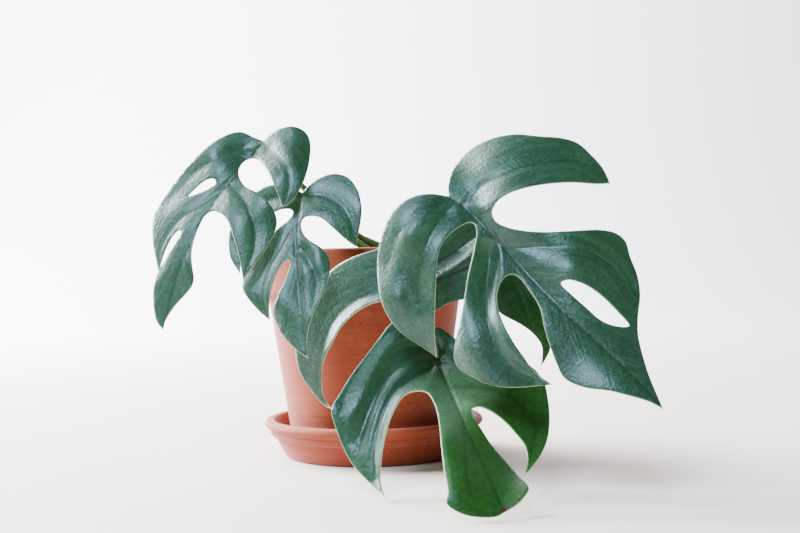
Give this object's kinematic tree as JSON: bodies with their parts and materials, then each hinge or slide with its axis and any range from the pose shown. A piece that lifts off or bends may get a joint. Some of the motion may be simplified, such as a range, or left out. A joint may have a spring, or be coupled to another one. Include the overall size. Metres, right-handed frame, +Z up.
{
  "type": "potted mini monstera",
  "caption": "Potted mini monstera: a climbing house plant with large split leaves on arching stalks, in a terracotta pot on its saucer.",
  "frame": {"origin": "middle of the saucer's flat underside, on the surface that it stands on", "axes": "+Z up; -Y towards the front, where the large leaves hang; +X to the right as seen from the front"},
  "size_m": [0.2348, 0.2389, 0.1756],
  "materials": {
    "terracotta": "matte",
    "soil": "rough",
    "stem": "satin",
    "leaf": "satin"
  },
  "bodies": {
    "root": {"saucer": "terracotta", "pot": "terracotta", "soil": "soil", "stem": "stem", "leaf_upper_left": "leaf", "leaf_lower_left": "leaf", "leaf_upper_right": "leaf", "leaf_middle_right": "leaf", "leaf_bottom_front": "leaf"}
  },
  "joints": []
}
